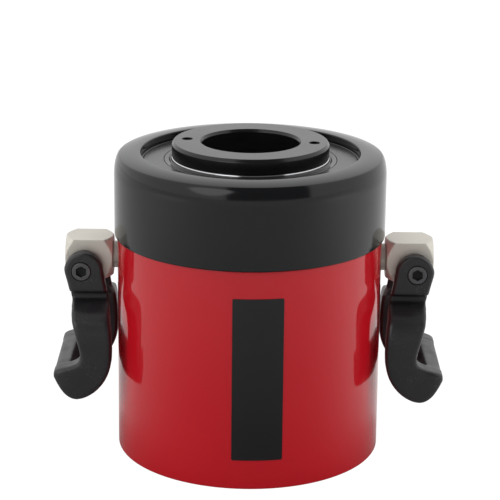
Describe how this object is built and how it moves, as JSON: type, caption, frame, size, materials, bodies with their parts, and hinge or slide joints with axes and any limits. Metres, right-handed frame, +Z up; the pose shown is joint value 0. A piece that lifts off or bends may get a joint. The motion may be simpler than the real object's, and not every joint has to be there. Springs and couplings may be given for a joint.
{
  "type": "hollow plunger hydraulic cylinder",
  "caption": "Single-acting hollow plunger hydraulic cylinder with spring return, hollow saddle, collar thread protector, swivel hoist rings and an oil coupler.",
  "frame": {"origin": "under the middle of the outline at base level; the cylinder's axis is the line x = 0, y = -0.01895", "axes": "+Z up along the cylinder's axis towards the saddle, +Y towards the oil coupler at the back, +X through the hoist rings"},
  "size_m": [0.3118, 0.2561, 0.254],
  "materials": {
    "red_paint": "gloss red enamel",
    "black_coat": "semi-gloss black",
    "chrome_plate": "hard chrome",
    "tube_steel": "turned steel",
    "phosphate": "black oxide",
    "seal_rubber": "matt rubber",
    "guide_bronze": "filled bronze guide strip",
    "spring_steel": "oiled spring steel",
    "nickel_plate": "satin nickel plate",
    "forged_black": "matt black powder coat on a forging",
    "label_film": "satin black film",
    "coupler_steel": "zinc plated steel",
    "cap_plastic": "moulded red plastic"
  },
  "bodies": {
    "cylinder": {"cylinder_body": "red_paint", "centre_tube": "tube_steel", "tube_oring": "seal_rubber", "stop_ring": "phosphate", "rod_bearing": "guide_bronze", "wiper_ring": "seal_rubber", "stop_ring_set_screw": "phosphate", "thread_protector": "black_coat", "label_plate": "label_film", "return_spring": "spring_steel", "hoist_bushing_right": "tube_steel", "hoist_bolt_right": "phosphate", "hoist_bushing_left": "tube_steel", "hoist_bolt_left": "phosphate", "coupler_body": "coupler_steel", "coupler_spring": "spring_steel"},
    "plunger": {"plunger": "chrome_plate", "piston_seal": "seal_rubber", "piston_backup_ring": "guide_bronze", "piston_wear_ring": "guide_bronze", "tube_seal": "seal_rubber", "tube_bearing": "guide_bronze", "saddle": "black_coat"},
    "swivel_right": {"hoist_block_right": "nickel_plate", "pivot_screw_right_front": "phosphate", "pivot_screw_right_back": "phosphate"},
    "bail_right": {"bail_right": "forged_black"},
    "swivel_left": {"hoist_block_left": "nickel_plate", "pivot_screw_left_front": "phosphate", "pivot_screw_left_back": "phosphate"},
    "bail_left": {"bail_left": "forged_black"},
    "coupler_ball": {"coupler_ball": "tube_steel"},
    "dust_cap": {"dust_cap": "cap_plastic"}
  },
  "joints": [
    {"name": "plunger_stroke", "type": "slide", "parent": "cylinder", "child": "plunger", "axis": [0, 0, 1], "range_m": [0, 0.0762], "stiffness_N_per_m": 3000, "springref_m": -0.05, "deforming": ["return_spring"]},
    {"name": "swivel_right", "type": "hinge", "parent": "cylinder", "child": "swivel_right", "pos_m": [0.1102, -0.01895, 0.1583], "axis": [1, 0, 0], "continuous": true},
    {"name": "bail_right_pivot", "type": "hinge", "parent": "swivel_right", "child": "bail_right", "pos_m": [0.1344, -0.01895, 0.1512], "axis": [0, -1, 0], "range_deg": [-3, 175]},
    {"name": "swivel_left", "type": "hinge", "parent": "cylinder", "child": "swivel_left", "pos_m": [-0.1102, -0.01895, 0.1583], "axis": [-1, 0, 0], "continuous": true},
    {"name": "bail_left_pivot", "type": "hinge", "parent": "swivel_left", "child": "bail_left", "pos_m": [-0.1344, -0.01895, 0.1512], "axis": [0, 1, 0], "range_deg": [-3, 175]},
    {"name": "coupler_ball_travel", "type": "slide", "parent": "cylinder", "child": "coupler_ball", "axis": [0, -1, 0], "range_m": [0, 0.0025], "stiffness_N_per_m": 1200, "springref_m": -0.002, "deforming": ["coupler_spring"]},
    {"name": "dust_cap_removal", "type": "slide", "parent": "cylinder", "child": "dust_cap", "axis": [0, 1, 0], "range_m": [0, 0.03]}
  ]
}
